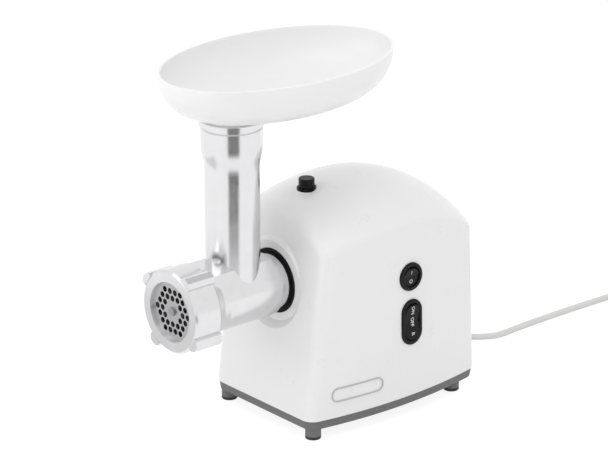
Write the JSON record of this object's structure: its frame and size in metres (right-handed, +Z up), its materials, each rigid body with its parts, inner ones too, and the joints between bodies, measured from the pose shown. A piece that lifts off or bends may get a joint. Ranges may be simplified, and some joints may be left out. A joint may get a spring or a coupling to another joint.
{
  "type": "electric meat grinder",
  "caption": "Electric meat grinder: metal screw head with feed tube, oval tray, cutting plate and screw ring on a white motor housing with rocker switches, a lock button and a mains cord.",
  "frame": {"origin": "bottom centre of the grinder without its cord, on the floor under the feet", "axes": "+Z up, the cutting plate faces -Y, the switches are on +X"},
  "size_m": [0.152, 0.5555, 0.283],
  "materials": {
    "housing": "satin white moulding",
    "base": "matt grey moulding",
    "foot_rubber": "matt",
    "screw_steel": "zinc plated",
    "badge": "slim border",
    "collar": "matt black",
    "button": "satin black",
    "lock_steel": "pressed",
    "spring_steel": "wire",
    "switch": "satin black",
    "rocker": "satin black",
    "cast_metal": "cast and polished",
    "auger_metal": "cast",
    "bush": "low friction",
    "blade_steel": "ground",
    "tray": "slightly translucent white",
    "gearbox": "filled moulding",
    "bronze": "sintered",
    "shaft_steel": "ground",
    "gear_plastic": "natural nylon",
    "gear_steel": "hobbed",
    "lamination": "stacked sheet",
    "winding": "varnished copper wire",
    "copper": "turned",
    "fan_plastic": "moulded",
    "brush_brass": "folded",
    "carbon": "graphite",
    "cord": "soft white sheath",
    "tie": "soft band",
    "pin_metal": "plated"
  },
  "bodies": {
    "machine": {"housing_shell": "housing", "base_plate": "base", "rubber_feet": "foot_rubber", "base_screws": "screw_steel", "badge_frame": "badge", "collar_ring": "collar", "button_bezel": "button", "lock_spring": "spring_steel", "power_switch": "switch", "direction_switch": "switch", "head_casting": "cast_metal", "auger_bush": "bush", "gearbox_case": "gearbox", "gearbox_cover": "gearbox", "cover_screws": "screw_steel", "case_screws": "screw_steel", "output_bush": "bronze", "intermediate_axle": "shaft_steel", "motor_bearings": "bronze", "motor_stator": "lamination", "field_coils": "winding", "motor_bracket": "gearbox", "motor_screws": "screw_steel", "brush_holders": "brush_brass", "carbon_brushes": "carbon", "strain_relief": "cord", "cord_lead": "cord", "cord_coil": "cord", "cord_tail": "cord", "cord_tie": "tie", "plug_body": "cord", "plug_pins": "pin_metal"},
    "tray": {"food_tray": "tray"},
    "plate": {"cutting_plate": "blade_steel"},
    "nut": {"ring_nut": "cast_metal"},
    "auger": {"auger": "auger_metal", "knife": "blade_steel", "output_shaft": "shaft_steel", "output_gear": "gear_plastic"},
    "intermediate": {"intermediate_wheel": "gear_plastic", "intermediate_pinion": "gear_steel"},
    "rotor": {"motor_shaft": "shaft_steel", "armature_core": "lamination", "armature_winding": "winding", "commutator": "copper", "cooling_fan": "fan_plastic"},
    "lock": {"lock_button": "button", "lock_yoke": "lock_steel"},
    "power_rocker": {"power_rocker": "rocker"},
    "direction_rocker": {"direction_rocker": "rocker"}
  },
  "joints": [
    {"name": "tray_lift", "type": "slide", "parent": "machine", "child": "tray", "axis": [0, 0, 1], "range_m": [0, 0.06]},
    {"name": "plate_out", "type": "slide", "parent": "machine", "child": "plate", "axis": [0, -1, 0], "range_m": [0, 0.015]},
    {"name": "nut_turn", "type": "hinge", "parent": "plate", "child": "nut", "pos_m": [0, -0.1275, 0.1106], "axis": [0, -1, 0], "range_deg": [0, 1800]},
    {"name": "auger_turn", "type": "hinge", "parent": "machine", "child": "auger", "pos_m": [0, -0.04, 0.1106], "axis": [0, 1, 0], "continuous": true},
    {"name": "intermediate_turn", "type": "hinge", "parent": "machine", "child": "intermediate", "pos_m": [-0.02219, 0.016, 0.07436], "axis": [0, 1, 0], "continuous": true},
    {"name": "motor_turn", "type": "hinge", "parent": "machine", "child": "rotor", "pos_m": [0, 0.056, 0.056], "axis": [0, 1, 0], "continuous": true},
    {"name": "lock_press", "type": "slide", "parent": "machine", "child": "lock", "axis": [0, 0, -1], "range_m": [0, 0.0045], "stiffness_N_per_m": 400, "deforming": ["lock_spring"]},
    {"name": "power_rock", "type": "hinge", "parent": "machine", "child": "power_rocker", "pos_m": [0.0607, 0.052, 0.11116], "axis": [0, -1, 0], "range_deg": [0, 16]},
    {"name": "direction_rock", "type": "hinge", "parent": "machine", "child": "direction_rocker", "pos_m": [0.06164, 0.0526, 0.07496], "axis": [0, -1, 0], "range_deg": [-8, 8]}
  ],
  "couplings": [
    {"joint": "nut_turn", "follows": "plate_out", "rad_per_m": 2094.4},
    {"joint": "intermediate_turn", "follows": "auger_turn", "ratio": -5.8},
    {"joint": "motor_turn", "follows": "auger_turn", "ratio": 35.96}
  ]
}
